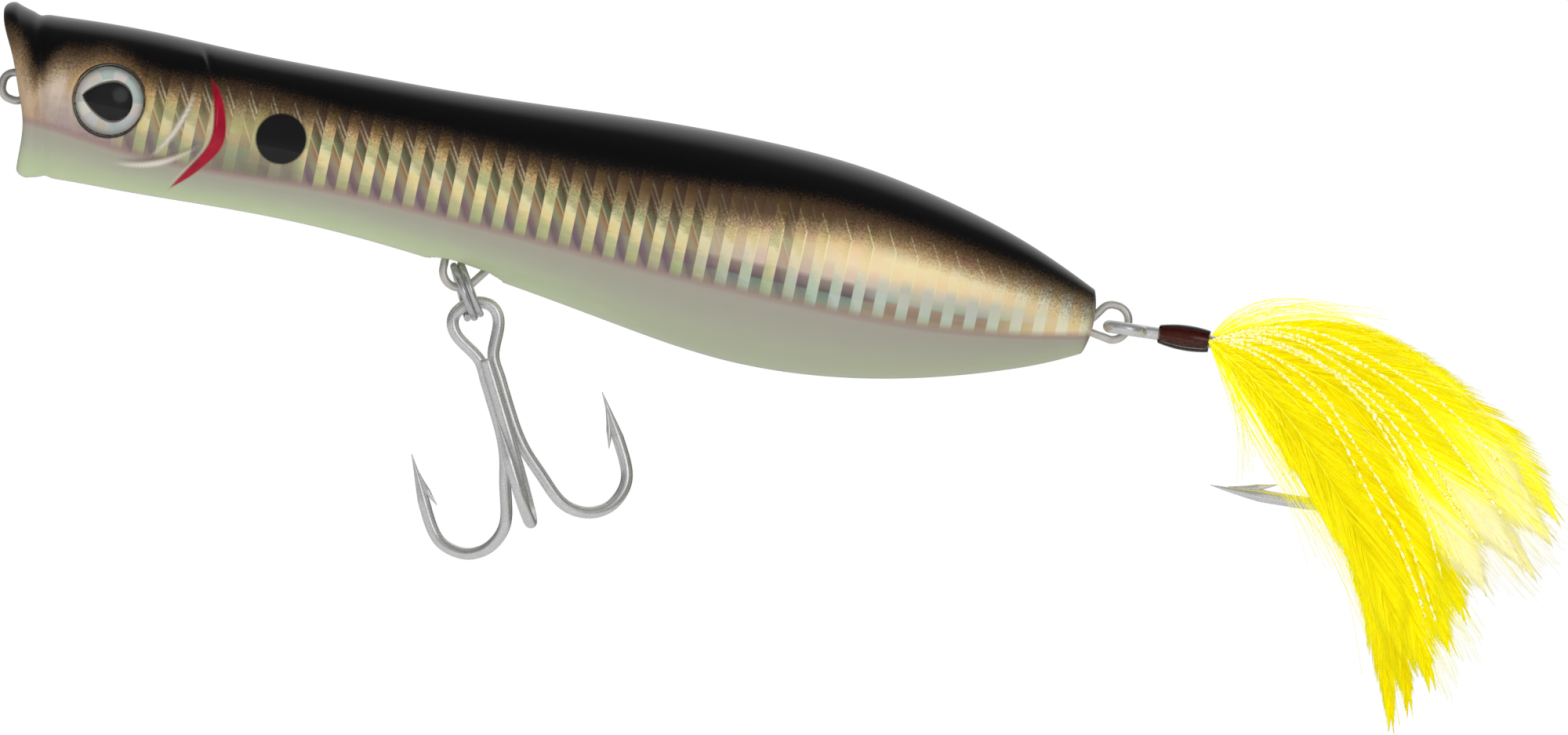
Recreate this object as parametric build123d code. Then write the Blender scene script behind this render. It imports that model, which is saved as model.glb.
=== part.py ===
from build123d import *
import os
from math import cos, sin, radians, pi

# Topwater popper: a floating fishing plug with a cupped mouth, a treble under
# the belly and a dressed single hook at the tail.
# Origin: centre of the line-tie eye. +X runs to the tail, +Z is the back.
# All sizes in millimetres.

os.makedirs("parts", exist_ok=True)

# ---- driving dimensions ------------------------------------------------------
WALL = 1.8                     # moulded shell wall
WIDTH_RATIO = 0.87             # body width over body height
FILM = 0.3                     # hot-stamped film, set flush into the shell
RIB = 2.0                      # moulded rib between two chambers

THROUGH_R = 0.6                # through-wire radius
WIRE_FIT = 0.02                # clearance of the wire in its moulded groove

EYE_X, EYE_Z = 14.5, 0.8       # centre of each eye
EYE_R = 5.4
SOCKET_Y = 7.7                 # floor of the eye socket
DISC_T = 0.5

RING_WIRE_R = 0.53
RING_R = 4.15                  # mean radius of the split ring
RING_PITCH = 1.1
RING_TILT = 30.0               # lean of the ring towards the tail, degrees

TREBLE_R = 0.9                 # treble wire radius
TREBLE_TILT = 28.8             # lean of the treble towards the tail, degrees
BUNDLE_R = 1.13                # shank centre from the treble's axis

HOOK_R = 0.95                  # tail hook wire radius
HOOK_RISE = 3.4                # rise of the tail hook's shank, degrees

FEATHER_T = 0.22
FEATHER_GAP = 0.06

# Body outline at stations along X: x, belly z, back z.
STATIONS = [
    (-6.0, -13.4, 12.7),
    (0.0, -13.5, 12.1),
    (5.0, -13.3, 11.8),
    (9.0, -12.6, 12.0),
    (18.0, -12.1, 12.4),
    (34.0, -11.4, 12.3),
    (48.0, -11.2, 12.6),
    (64.0, -12.1, 13.1),
    (80.0, -13.8, 14.1),
    (96.0, -16.1, 15.2),
    (112.0, -17.9, 15.6),
    (128.0, -17.2, 14.8),
    (142.0, -14.5, 12.3),
    (154.0, -10.8, 8.9),
    (162.0, -7.5, 5.7),
    (166.0, -5.4, 3.9),
]


# ---- helpers -----------------------------------------------------------------
def save(shape, name):
    export_step(shape, f"parts/{name}.step")


def body_form(inset):
    """The body's outer form, or that form shrunk by inset all round."""
    rings = []
    for x, low, high in STATIONS:
        half = (high - low) / 2 - inset
        middle = Plane(origin=(x, 0, (low + high) / 2), x_dir=(0, 1, 0), z_dir=(1, 0, 0))
        rings.append(middle * Ellipse((half + inset) * WIDTH_RATIO - inset, half))
    return loft(rings)


def block(x0, x1, y0, y1, z0, z1):
    centre = ((x0 + x1) / 2, (y0 + y1) / 2, (z0 + z1) / 2)
    return Pos(*centre) * Box(x1 - x0, y1 - y0, z1 - z0)


def side_prism(edges, y0, y1):
    """A closed outline in the XZ plane, extruded from y0 to y1."""
    face = make_face(edges)
    return Pos(0, y0, 0) * extrude(face, amount=y1 - y0, dir=(0, 1, 0))


def xz(points):
    return [(x, 0, z) for x, z in points]


def wire_rod(path, radius):
    section = Plane(origin=path @ 0, z_dir=path % 0) * Circle(radius)
    return sweep(section, path=path)


def ellipse_at(x, half_y, half_z, z):
    return Plane(origin=(x, 0, z), x_dir=(0, 1, 0), z_dir=(1, 0, 0)) * Ellipse(half_y, half_z)


# ---- through-wire ------------------------------------------------------------
# One stainless wire: line-tie eye, straight run, belly hanger, run, tail eye.
NOSE_R = 1.9                   # line-tie eye, mean radius
HANGER_X, HANGER_Z, HANGER_R = 71.6, -12.85, 2.85
TAIL_X, TAIL_Z, TAIL_R = 169.0, -0.05, 2.45
RUN_Z = -2.0                   # height of the wire's run inside the body


def through_wire_path():
    nose_low = (4.0, -0.75)
    points = [
        (14.0, -0.75),
        nose_low,
        (NOSE_R * 0.2, -NOSE_R - 0.25),
        (-NOSE_R - 0.15, -NOSE_R * 0.95),
        (-NOSE_R - 0.15, NOSE_R * 0.95),
        (NOSE_R * 0.2, NOSE_R + 0.25),
        (4.0, 0.75),
        (20.0, 0.75),
        (61.0, RUN_Z),
        (HANGER_X - HANGER_R - 0.05, -7.5),
        (HANGER_X - HANGER_R, HANGER_Z - HANGER_R),
        (HANGER_X + 1.1, HANGER_Z - HANGER_R),
        (HANGER_X + 6.6, -8.0),
        (86.0, RUN_Z - 1.5),
        (158.0, RUN_Z + 1.2),
        (165.8, -0.45),
        (TAIL_X - 1.2, TAIL_Z + TAIL_R + 0.1),
        (TAIL_X + TAIL_R, TAIL_Z + TAIL_R + 0.1),
        (TAIL_X + TAIL_R, TAIL_Z - TAIL_R - 0.1),
        (TAIL_X + 0.2, TAIL_Z - TAIL_R - 0.25),
        (165.6, -2.15),
        (157.0, -2.15),
    ]
    radii = [2.0, 1.4, 1.75, 1.75, 1.4, 2.0, 20.0, 6.0, 2.0,
             2.5, 2.5, 3.0, 8.0, 5.0, 1.2, 1.8, 2.3, 2.3, 1.6, 2.0]
    return FilletPolyline(*xz(points), radius=radii)


wire_path = through_wire_path()
through_wire = wire_rod(wire_path, THROUGH_R)
wire_groove = wire_rod(wire_path, THROUGH_R + WIRE_FIT)
save(through_wire, "through_wire")

# ---- body shells -------------------------------------------------------------
outer = body_form(0)
inner = body_form(WALL)

# The mouth is cut to a slanted, hollow line: the upper lip stands furthest out.
mouth_line = Spline(*xz([(-4.3, 13.6), (-2.6, 9.6), (0.9, 4.2), (2.7, -2.0), (2.9, -8.0), (2.6, -14.6)]))
mouth_back = Polyline(*xz([(2.6, -14.6), (-9.0, -14.6), (-9.0, 13.6), (-4.3, 13.6)]))
mouth_cut = side_prism([mouth_line, mouth_back], -15, 15)

cup = loft([
    ellipse_at(-6.0, 10.1, 11.3, -0.6),
    ellipse_at(2.0, 9.7, 10.9, -0.7),
    ellipse_at(6.0, 8.6, 9.6, -0.7),
    ellipse_at(9.0, 6.4, 7.1, -0.7),
    ellipse_at(10.6, 3.0, 3.4, -0.7),
])

# Chambers of air between the ribs; the hanger and the tail are solid plastic.
CHAMBERS = [(21.0, 40.0), (40.0 + RIB, 62.0), (82.0, 102.0), (102.0 + RIB, 118.0), (118.0 + RIB, 134.0),
            (134.0 + RIB, 152.0)]
chambers = [inner & block(x0, x1, -20, 20, -20, 20) for x0, x1 in CHAMBERS]

socket = Rot(90, 0, 0) * Cylinder(EYE_R + 0.05, 10)
sockets = [Pos(EYE_X, side * (SOCKET_Y + 5), EYE_Z) * socket for side in (-1, 1)]

# Slot in the belly that lets the split ring swing on its hanger.
slot = fillet(block(66.6, 77.6, -3.5, 3.5, -18.0, -10.3).edges().filter_by(Axis.Z), 3.2)

# Ballast slug and the casting ball's race are held in holes in the ribs.
SLUG_X0, SLUG_X1, SLUG_R, SLUG_Z = 100.0, 122.0, 4.2, -10.4
RACE_X0, RACE_X1, RACE_R, RACE_BORE, RACE_Z = 82.0, 134.0, 5.0, 4.3, 6.6
BALL_R = 4.0


def rod_x(x0, x1, radius, z):
    return Pos((x0 + x1) / 2, 0, z) * Rot(0, 90, 0) * Cylinder(radius, x1 - x0)


ballast_slug = rod_x(SLUG_X0, SLUG_X1, SLUG_R, SLUG_Z)
race_outer = rod_x(RACE_X0, RACE_X1, RACE_R, RACE_Z)
ball_race_tube = race_outer - rod_x(RACE_X0, RACE_X1, RACE_BORE, RACE_Z)
casting_ball = Pos(RACE_X0 + BALL_R + 1.0, 0, RACE_Z) * Sphere(BALL_R)

body = outer - mouth_cut - cup
for hollow in chambers + sockets + [slot, ballast_slug, race_outer, wire_groove]:
    body = body - hollow

# Film on each flank, from behind the mouth to the tail.
FILM_LOW = [(8.0, -8.5), (26.0, -6.6), (60.0, -6.0), (96.0, -7.2), (136.0, -7.0), (163.0, -3.4)]
FILM_HIGH = [(163.0, 2.6), (136.0, 8.2), (96.0, 9.4), (50.0, 7.6), (8.0, 7.2)]
film_edge = Spline(*xz(FILM_LOW))
film_top = Spline(*xz(FILM_HIGH))
film_back = Polyline(*xz([(163.0, -3.4), (163.0, 2.6)]))
film_front = Polyline(*xz([(8.0, 7.2), (8.0, -8.5)]))
film_coat = outer - body_form(FILM)
film_pattern = side_prism([film_edge, film_back, film_top, film_front], 0, 16)

film_right = (film_coat & film_pattern) - sockets[1]
film_left = mirror(film_right, about=Plane.XZ)
body = body - film_right - film_left

save(body & block(-10, 170, -20, 0, -20, 20), "shell_left")
save(body & block(-10, 170, 0, 20, -20, 20), "shell_right")
save(film_left, "flank_film_left")
save(film_right, "flank_film_right")
save(ballast_slug, "ballast_slug")
save(ball_race_tube, "ball_race_tube")
save(casting_ball, "casting_ball")

# ---- eyes --------------------------------------------------------------------
LENS_EDGE = 1.9                # straight wall of the lens
LENS_DOME = 1.9                # height of its domed face
DOME_R = (EYE_R ** 2 + LENS_DOME ** 2) / (2 * LENS_DOME)


def eye_plug(side, start, length):
    return Pos(EYE_X, side * (start + length / 2), EYE_Z) * Rot(90, 0, 0) * Cylinder(EYE_R, length)


for side, name in ((-1, "left"), (1, "right")):
    lens_foot = SOCKET_Y + DISC_T
    dome = Pos(EYE_X, side * (lens_foot + LENS_EDGE + LENS_DOME - DOME_R), EYE_Z) * Sphere(DOME_R)
    save(eye_plug(side, SOCKET_Y, DISC_T), f"eye_disc_{name}")
    save(eye_plug(side, lens_foot, LENS_EDGE + LENS_DOME) & dome, f"eye_lens_{name}")

# ---- split ring --------------------------------------------------------------
# A double coil of spring wire, seen edge-on from the side.
ring_low = Vector(74.85, 0, -19.55)
ring_down = Vector(sin(radians(RING_TILT)), 0, -cos(radians(RING_TILT)))
ring_axis = Vector(cos(radians(RING_TILT)), 0, sin(radians(RING_TILT)))
ring_middle = ring_low - ring_down * RING_R
TURNS = 1.9
ring_start = ring_middle - ring_axis * (RING_PITCH * TURNS / 2)
ring_frame = Plane(origin=ring_start, x_dir=ring_down, z_dir=ring_axis)
coil = ring_frame * (Rot(0, 0, 18) * Helix(pitch=RING_PITCH, height=RING_PITCH * TURNS, radius=RING_R))
split_ring = sweep(Plane(origin=coil @ 0, z_dir=coil % 0) * Circle(RING_WIRE_R), path=coil, is_frenet=True)
save(split_ring, "belly_split_ring")

# ---- treble hook -------------------------------------------------------------
# Measured down the shank (w) from the top of the eye and out from its axis (r).
THIRD_TOP = 10.8               # the third hook's shank is cut flat below the eye
HOOK_WAIST = 22.0              # the three shanks leave each other here
BEND_R = 6.3
BEND_OUT = 10.5                # middle of each bend, out from the treble's axis
SPEAR_RISE, POINT_RISE = 2.2, 10.8      # root and tip of each point, above the middle of its bend
TREBLE_EYE_GAP = 2.2           # ring wire's centre to the centre of the eye's top
# Each hook's direction round the shank in degrees, and how far down its bend lies.
LEFT_HOOK = (-114.0, 30.9)
THIRD_HOOK = (-3.0, 28.8)
RIGHT_HOOK = (113.0, 30.2)

shank_down = Vector(sin(radians(TREBLE_TILT)), 0, -cos(radians(TREBLE_TILT)))
shank_side = Vector(cos(radians(TREBLE_TILT)), 0, sin(radians(TREBLE_TILT)))
eye_top = ring_low - shank_down * (TREBLE_EYE_GAP + TREBLE_R)


def treble_point(r, w, turn):
    """turn is the hook's direction round the shank: 0 is -Y, 90 is towards the tail."""
    out = shank_side * sin(radians(turn)) - Vector(0, 1, 0) * cos(radians(turn))
    return eye_top + shank_down * w + out * r


def barbed_point(root, heading, reach, inward, radius):
    """Long needle point from root along heading, with a cut barb on its inner side."""
    needle = Solid.make_cone(radius, 0.06, reach, Plane(origin=root, z_dir=heading))
    barb_dir = (inward * 0.42 - heading).normalized()
    barb_root = root + heading * (reach * 0.4) - inward * (radius * 0.15)
    barb = Solid.make_cone(radius * 0.42, 0.05, 3.1, Plane(origin=barb_root, z_dir=barb_dir))
    return needle + barb


def arm_edges(hook, top):
    """One hook's centre line, from the top of its shank to the root of its point."""
    turn, bend = hook

    def at(r, w):
        return treble_point(r, w, turn)

    inner_side = BEND_OUT - BEND_R
    outer_side = BEND_OUT + BEND_R
    return [
        Line(at(BUNDLE_R, top), at(BUNDLE_R, HOOK_WAIST)),
        Spline(at(BUNDLE_R, HOOK_WAIST), at(inner_side, bend), tangents=[shank_down, shank_down]),
        ThreePointArc(at(inner_side, bend), at(BEND_OUT, bend + BEND_R), at(outer_side, bend)),
        Line(at(outer_side, bend), at(outer_side, bend - SPEAR_RISE)),
    ]


def arm_point(hook):
    turn, bend = hook
    root = treble_point(BEND_OUT + BEND_R, bend - SPEAR_RISE, turn)
    inward = (treble_point(0, 0, turn) - treble_point(1, 0, turn)).normalized()
    return barbed_point(root, shank_down * -1, POINT_RISE - SPEAR_RISE, inward, TREBLE_R)


EYE_Y = 0.45                   # the eye lies in the plane of the double hook's two shanks


def eye_point(side, w):
    return eye_top + shank_side * side + shank_down * w + Vector(0, EYE_Y, 0)


# The double hook is one wire: hook, shank, eye, shank, hook.
EYE_HALF = 3.3
left_foot = BUNDLE_R * sin(radians(LEFT_HOOK[0]))
right_foot = BUNDLE_R * sin(radians(RIGHT_HOOK[0]))
eye_line = FilletPolyline(
    eye_point(left_foot, 13.0),
    eye_point(left_foot, 11.3),
    eye_point(-EYE_HALF - 0.25, 3.6),
    eye_point(-EYE_HALF + 0.1, TREBLE_R),
    eye_point(EYE_HALF - 0.1, TREBLE_R),
    eye_point(EYE_HALF + 0.25, 3.6),
    eye_point(right_foot, 11.3),
    eye_point(right_foot, 13.0),
    radius=[3.0, 3.2, 2.2, 2.2, 3.2, 3.0],
)
SHANK_TOP = 16.0
shank_up = shank_down * -1
left_top = treble_point(BUNDLE_R, SHANK_TOP, LEFT_HOOK[0])
right_top = treble_point(BUNDLE_R, SHANK_TOP, RIGHT_HOOK[0])
neck_left = Spline(left_top, eye_line @ 0, tangents=[shank_up, shank_up])
neck_right = Spline(eye_line @ 1, right_top, tangents=[shank_down, shank_down])
double_line = Wire(arm_edges(LEFT_HOOK, SHANK_TOP) + [neck_left] + eye_line.edges() + [neck_right]
                   + arm_edges(RIGHT_HOOK, SHANK_TOP))
double_hook = wire_rod(double_line, TREBLE_R) + arm_point(LEFT_HOOK) + arm_point(RIGHT_HOOK)
third_hook = wire_rod(Wire(arm_edges(THIRD_HOOK, THIRD_TOP)), TREBLE_R) + arm_point(THIRD_HOOK)
save(double_hook, "treble_double_hook")
save(third_hook, "treble_third_hook")

# ---- tail hook ---------------------------------------------------------------
TAIL_EYE_X, TAIL_EYE_Z = 168.75, -0.8   # bar of the hook's eye, inside the wire's tail eye
TAIL_EYE_R = 2.5                        # mean radius of the hook's eye
rise = Vector(cos(radians(HOOK_RISE)), 0, sin(radians(HOOK_RISE)))
drop = Vector(sin(radians(HOOK_RISE)), 0, -cos(radians(HOOK_RISE)))
eye_bar = Vector(TAIL_EYE_X, 0, TAIL_EYE_Z)


def hook_at(along, down):
    """Place measured along the tail hook's shank from its eye bar, and down from it."""
    return eye_bar + rise * along + drop * down


hook_eye = Plane(origin=hook_at(TAIL_EYE_R, 0), x_dir=rise, z_dir=drop) * Torus(TAIL_EYE_R, HOOK_R)
SHANK_END = 34.0
GAPE_R = 10.9
SPEAR = 6.0
POINT_AT = 18.7
hook_path = Wire([
    Line(hook_at(2 * TAIL_EYE_R, 0), hook_at(SHANK_END, 0)),
    ThreePointArc(
        hook_at(SHANK_END, 0), hook_at(SHANK_END + GAPE_R, GAPE_R), hook_at(SHANK_END, 2 * GAPE_R)),
    Line(hook_at(SHANK_END, 2 * GAPE_R), hook_at(SHANK_END - SPEAR, 2 * GAPE_R)),
])
hook_wire = wire_rod(hook_path, HOOK_R)
tip_root = hook_at(SHANK_END - SPEAR, 2 * GAPE_R)
hook_tip = barbed_point(tip_root, rise * -1, SHANK_END - SPEAR - POINT_AT, drop * -1, HOOK_R)
tail_hook = hook_eye + hook_wire + hook_tip
save(tail_hook, "tail_hook")

# ---- thread and varnish ------------------------------------------------------
WRAP_START, WRAP_LENGTH = 7.7, 7.4
shank_frame = Plane(origin=hook_at(WRAP_START, 0), x_dir=drop, z_dir=rise)


def barrel(start, end, small, big, large):
    """Barrel turned about the shank: radius small, swelling to big, ending at large."""
    middle = (start + end) / 2 + 0.6
    outline = [
        Polyline((0, end), (0, start), (small, start)),
        ThreePointArc((small, start), (big, middle), (large, end)),
        Line((large, end), (0, end)),
    ]
    turned = revolve(make_face(outline), Axis.Y)
    return shank_frame * (Rot(90, 0, 0) * turned)


thread = barrel(0, WRAP_LENGTH, 1.35, 1.85, 1.55)
varnish = barrel(-0.5, WRAP_LENGTH, 1.25, 2.03, 1.7)
varnish_coat = varnish - thread - tail_hook
thread_whipping = thread - tail_hook
save(thread_whipping, "thread_whipping")
save(varnish_coat, "whipping_varnish")

# ---- feathers and flash ------------------------------------------------------
# Each hackle is a thin curved blade. Its line runs from the whipping over a
# crown point and down to its tip; x and z are measured from the whipping's end.
dressing_root = hook_at(WRAP_START + WRAP_LENGTH + 0.05, 0)
HACKLES = [
    # crown x, crown z, tip x, tip z, half width
    (27.0, 3.5, 56.5, -13.5, 5.0),
    (25.0, -2.5, 55.5, -24.0, 5.0),
    (21.0, 1.0, 51.0, -27.0, 5.0),
    (21.0, -8.0, 50.0, -34.5, 4.6),
    (18.0, -6.0, 45.0, -38.5, 4.8),
    (17.0, -12.0, 42.0, -46.0, 4.4),
    (14.5, -12.0, 40.0, -50.3, 4.4),
    (12.5, -9.0, 33.5, -37.5, 4.4),
]
BLADE_STEPS = (0.12, 0.3, 0.5, 0.7, 0.88)
STEM_HALF = 0.35


def blade_line(crown_x, crown_z, tip_x, tip_z):
    return Spline((0, 0), (crown_x, crown_z), (tip_x, tip_z))


def hackle(number, crown_x, crown_z, tip_x, tip_z, half_width):
    line = blade_line(crown_x, crown_z, tip_x, tip_z)
    upper, lower = [(0, STEM_HALF)], [(0, -STEM_HALF)]
    for step in BLADE_STEPS:
        middle, heading = line @ step, line % step
        half = max(STEM_HALF, half_width * sin(pi * step ** 0.8) ** 0.8)
        upper.append((middle.X - heading.Y * half, middle.Y + heading.X * half))
        lower.append((middle.X + heading.Y * half, middle.Y - heading.X * half))
    edge = upper + [(tip_x, tip_z)]
    back = [(tip_x, tip_z)] + lower[::-1]
    face = make_face([Spline(*edge), Spline(*back), Line((0, -STEM_HALF), (0, STEM_HALF))])
    side = -1 if number % 2 else 1
    layer = number // 2
    offset = side * (HOOK_R + 0.08 + layer * (FEATHER_T + FEATHER_GAP))
    spread = side * (1.5 + 3.2 * layer)
    plane = Plane(origin=dressing_root + Vector(0, offset, 0),
                  x_dir=(cos(radians(spread)), sin(radians(spread)), 0),
                  z_dir=(sin(radians(spread)), -cos(radians(spread)), 0))
    return plane * extrude(face, amount=FEATHER_T if side < 0 else -FEATHER_T)


for number, sizes in enumerate(HACKLES):
    save(hackle(number, *sizes), f"hackle_feather_{number + 1}")

# Twisted tinsel over the upper half of the dressing.
FLASH = [
    # crown x, crown z, tip x, tip z
    (26.0, 9.0, 54.0, -6.0),
    (25.0, 4.0, 54.0, -16.0),
    (20.0, 6.0, 44.0, -14.0),
]
FLASH_T = 0.12
FLASH_HALF = 0.35


def flash_strand(number, side, crown_x, crown_z, tip_x, tip_z):
    line = blade_line(crown_x, crown_z, tip_x, tip_z)
    strip = trace(line, line_width=2 * FLASH_HALF)
    layer = HOOK_R + 0.08 + 4.6 * (FEATHER_T + FEATHER_GAP)
    spread = side * (12.6 + number * 1.5)
    plane = Plane(origin=dressing_root + Vector(0.3, side * layer, 0),
                  x_dir=(cos(radians(spread)), sin(radians(spread)), 0),
                  z_dir=(sin(radians(spread)), -cos(radians(spread)), 0))
    return plane * extrude(strip, amount=-side * FLASH_T)


strands = [flash_strand(number, side, *sizes) for side in (-1, 1) for number, sizes in enumerate(FLASH)]
save(Compound(strands), "flash_strands")
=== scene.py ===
import bmesh
import bpy
import math
import random
import numpy as np
from mathutils import Matrix, Vector


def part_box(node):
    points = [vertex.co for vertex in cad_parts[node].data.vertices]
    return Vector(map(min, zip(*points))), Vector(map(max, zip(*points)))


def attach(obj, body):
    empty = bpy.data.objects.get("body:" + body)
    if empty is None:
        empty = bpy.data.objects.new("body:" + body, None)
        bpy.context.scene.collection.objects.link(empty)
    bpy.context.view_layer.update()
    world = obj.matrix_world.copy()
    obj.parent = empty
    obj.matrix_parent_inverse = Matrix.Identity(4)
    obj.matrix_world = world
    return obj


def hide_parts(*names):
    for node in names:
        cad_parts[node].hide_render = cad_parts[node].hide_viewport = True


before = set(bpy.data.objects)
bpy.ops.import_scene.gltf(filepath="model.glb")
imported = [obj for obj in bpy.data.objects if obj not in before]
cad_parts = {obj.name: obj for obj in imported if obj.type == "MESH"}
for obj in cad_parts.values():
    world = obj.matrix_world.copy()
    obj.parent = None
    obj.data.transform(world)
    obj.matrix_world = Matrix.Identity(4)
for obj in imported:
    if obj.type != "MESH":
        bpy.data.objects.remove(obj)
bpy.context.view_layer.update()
MM = 0.001
random.seed(11)
rng = np.random.default_rng(11)
scene = bpy.context.scene


# ---- shader helpers ----
def srgb(code):
    """Linear colour of a display colour given as 0xRRGGBB."""
    def linear(value):
        value /= 255
        return value / 12.92 if value <= 0.04045 else ((value + 0.055) / 1.055) ** 2.4
    return (linear(code >> 16), linear(code >> 8 & 255), linear(code & 255), 1.0)


class Value:
    """What a node gives out, so that node maths reads as plain sums."""

    def __init__(self, graph, socket):
        self.graph, self.socket = graph, socket

    def __add__(self, other):
        return self.graph.math("ADD", self, other)

    def __radd__(self, other):
        return self.graph.math("ADD", other, self)

    def __sub__(self, other):
        return self.graph.math("SUBTRACT", self, other)

    def __rsub__(self, other):
        return self.graph.math("SUBTRACT", other, self)

    def __mul__(self, other):
        return self.graph.math("MULTIPLY", self, other)


class Graph:
    """The nodes of a material or of the world."""

    def __init__(self, owner):
        owner.use_nodes = True
        self.tree = owner.node_tree

    def put(self, socket, value):
        if isinstance(value, Value):
            value = value.socket
        if isinstance(value, bpy.types.NodeSocket):
            self.tree.links.new(value, socket)
        else:
            socket.default_value = value

    def node(self, kind, *values, **settings):
        made = self.tree.nodes.new("ShaderNode" + kind)
        for key, value in settings.items():
            setattr(made, key, value)
        for socket, value in zip(made.inputs, values):
            self.put(socket, value)
        return made

    def value(self, kind, *values, output=0, **settings):
        return Value(self, self.node(kind, *values, **settings).outputs[output])

    def math(self, operation, *values):
        return self.value("Math", *values, operation=operation)

    def step(self, value, low, high, top=1.0):
        """0 below low, top above high, smooth between. low may be above high."""
        return self.value("MapRange", value, low, high, 0.0, top, interpolation_type="SMOOTHSTEP")

    def mix(self, factor, first, second, **settings):
        """Two colours, each a value or 0xRRGGBB."""
        made = self.node("Mix", factor, data_type="RGBA", **settings)
        for socket, colour in zip(made.inputs[6:8], (first, second)):
            self.put(socket, srgb(colour) if isinstance(colour, int) else colour)
        return Value(self, made.outputs[2])

    def ramp(self, value, *stops):
        """Colour by value: stops are (place, 0xRRGGBB)."""
        made = self.node("ValToRGB", value)
        points = made.color_ramp.elements
        while len(points) < len(stops):
            points.new(1.0)
        for point, (place, colour) in zip(points, stops):
            point.position = place
            point.color = srgb(colour)
        return Value(self, made.outputs[0])

    def field(self, name):
        return self.value("Attribute", attribute_name=name, output="Fac")

    def place(self):
        """Place on the piece, in millimetres."""
        coordinates = self.value("TexCoord", output="Object")
        return self.value("VectorMath", coordinates, (1 / MM,) * 3, operation="MULTIPLY")

    def xyz(self, vector):
        return [Value(self, socket) for socket in self.node("SeparateXYZ", vector).outputs]

    def vector(self, x, y, z):
        return self.value("CombineXYZ", x, y, z)

    def noise(self, vector, scale, detail=2.0, roughness=0.5):
        made = self.node("TexNoise")
        named = {"Vector": vector, "Scale": scale, "Detail": detail, "Roughness": roughness}
        for key, value in named.items():
            self.put(made.inputs[key], value)
        return Value(self, made.outputs["Fac"])

    def chance(self, vector, output="Value"):
        return self.value("TexWhiteNoise", vector, output=output)


class Paint(Graph):
    """A material with a Principled shader. Its sockets are named with _ for each space."""

    def __init__(self, name, **sockets):
        self.material = bpy.data.materials.new(name)
        super().__init__(self.material)
        self.bsdf = self.tree.nodes["Principled BSDF"]
        self.surface = self.tree.nodes["Material Output"].inputs["Surface"]
        self.shade(**sockets)

    def shade(self, **sockets):
        for key, value in sockets.items():
            self.put(self.bsdf.inputs[key.replace("_", " ")], value)

    def bump(self, height, strength, distance):
        made = self.node("Bump")
        for key, value in zip(("Strength", "Distance", "Height"), (strength, distance, height)):
            self.put(made.inputs[key], value)
        self.shade(Normal=Value(self, made.outputs[0]))


def mottled(name, scale, first, second, **sockets):
    """A plain material whose colour drifts a little."""
    g = Paint(name, **sockets)
    g.shade(Base_Color=g.mix(g.noise(g.place(), scale), first, second))
    return g.material


# ---- body form ----
# Outline at stations along the body: x, belly z, back z, in millimetres.
STATIONS = np.array([
    (-6, -12.9, 11.6), (0, -12.8, 11.5), (4, -12.7, 11.7), (9, -12.4, 12.05), (18, -12.1, 12.4),
    (34, -11.4, 12.3), (48, -11.2, 12.6), (64, -12.1, 13.1), (80, -13.8, 14.1), (96, -16.1, 15.2),
    (112, -17.9, 15.6), (128, -17.2, 14.8), (142, -14.5, 12.3), (154, -10.8, 8.9), (162, -7.5, 5.7),
    (166, -5.4, 3.9)])
WIDTH_RATIO = 0.87             # of the width to the height
TAIL_END = 166.0
CUP_FLOOR = 10.8
CUP_HALF_Y, CUP_HALF_Z, CUP_Z = 9.0, 10.2, -0.65
EYE_X, EYE_Z, EYE_R = 14.5, 0.8, 5.4
SOCKET_Y = 7.7


def curve_through(points):
    """A smooth function through (x, value) points: a natural cubic spline."""
    xs, ys = np.array(sorted(map(tuple, points)), float).T
    n = len(xs)
    h = np.diff(xs)
    matrix = np.eye(n)
    right = np.zeros(n)
    for i in range(1, n - 1):
        matrix[i, i - 1:i + 2] = h[i - 1], 2 * (h[i - 1] + h[i]), h[i]
        right[i] = 6 * ((ys[i + 1] - ys[i]) / h[i] - (ys[i] - ys[i - 1]) / h[i - 1])
    bend = np.linalg.solve(matrix, right)

    def value(x):
        x = np.clip(x, xs[0], xs[-1])
        i = np.clip(np.searchsorted(xs, x) - 1, 0, n - 2)
        a, b = xs[i + 1] - x, x - xs[i]
        return (bend[i] * a ** 3 / (6 * h[i]) + bend[i + 1] * b ** 3 / (6 * h[i])
                + (ys[i] / h[i] - bend[i] * h[i] / 6) * a + (ys[i + 1] / h[i] - bend[i + 1] * h[i] / 6) * b)
    return value


low_of = curve_through(STATIONS[:, [0, 1]])
high_of = curve_through(STATIONS[:, [0, 2]])
# The rim of the mouth, seen from the side: x against z.
rim_of = curve_through([(13.5, -4.6), (9.6, -3.6), (5.5, -1.6), (-0.8, 0.9), (-5, 2.3), (-10.3, 2.7),
                        (-13.8, 2.6)])
# The edge of the gill plate, x against z, and the width of the red mark behind it.
gill_of = curve_through([(12, 26.2), (9.8, 27.3), (6.3, 29.1), (2, 30.4), (-2.6, 30.4), (-5.7, 28.8),
                         (-9.8, 26.2), (-12.5, 25)])
red_of = curve_through([(9.8, -0.4), (7.9, 0.3), (5.2, 1.3), (1, 2), (-2.5, 2.2), (-5.6, 1.9), (-8.4, 1.2),
                        (-10.4, -0.1), (-11.5, -1)])
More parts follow.
